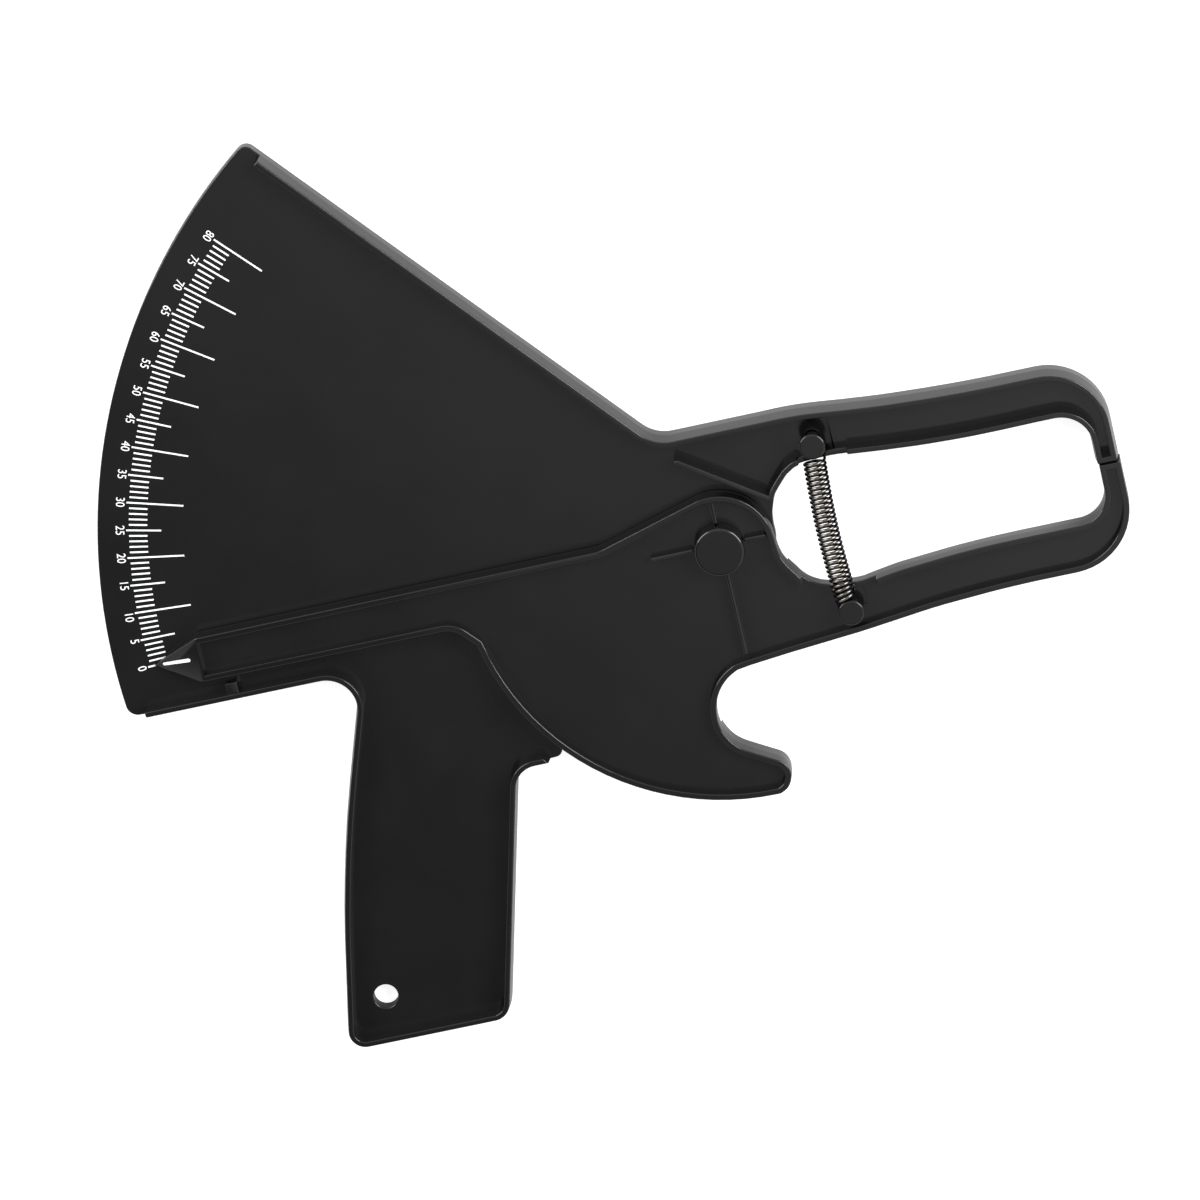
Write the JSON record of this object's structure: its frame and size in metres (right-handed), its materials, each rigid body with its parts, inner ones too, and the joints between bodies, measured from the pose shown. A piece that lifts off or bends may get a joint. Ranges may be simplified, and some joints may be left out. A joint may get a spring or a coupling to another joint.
{
  "type": "skinfold caliper",
  "caption": "Moulded plastic skinfold caliper: a fixed jaw with dial and grip, and a sprung lever jaw with finger hook and a pointer arm that sweeps a millimetre scale.",
  "frame": {"origin": "on the pivot's axis, in the flat back plane of the caliper", "axes": "+X along the zero line from the pivot to the jaw tips, +Y towards the upper jaw, +Z towards the reader of the dial"},
  "size_m": [0.2757, 0.251, 0.0146],
  "materials": {
    "body_plastic": "black moulded plastic, semi-gloss, with a white printed scale",
    "lever_plastic": "black moulded plastic, semi-gloss, with a white pointer line",
    "stud_plastic": "black plastic, glossy",
    "washer_steel": "plain steel",
    "spring_steel": "bright drawn steel wire"
  },
  "bodies": {
    "frame": {"body_frame": "body_plastic", "pivot_stud": "stud_plastic", "retaining_washer": "washer_steel", "spring_post_upper": "stud_plastic", "spring": "spring_steel"},
    "lever": {"lever": "lever_plastic", "spring_post_lower": "stud_plastic"}
  },
  "joints": [
    {"name": "lever_pivot", "type": "hinge", "parent": "frame", "child": "lever", "pos_m": [0, 0, 0.006], "axis": [0, 0, -1], "range_deg": [0, 46], "stiffness_Nm_per_rad": 0.17, "springref_deg": -108.86, "deforming": ["spring"]}
  ]
}
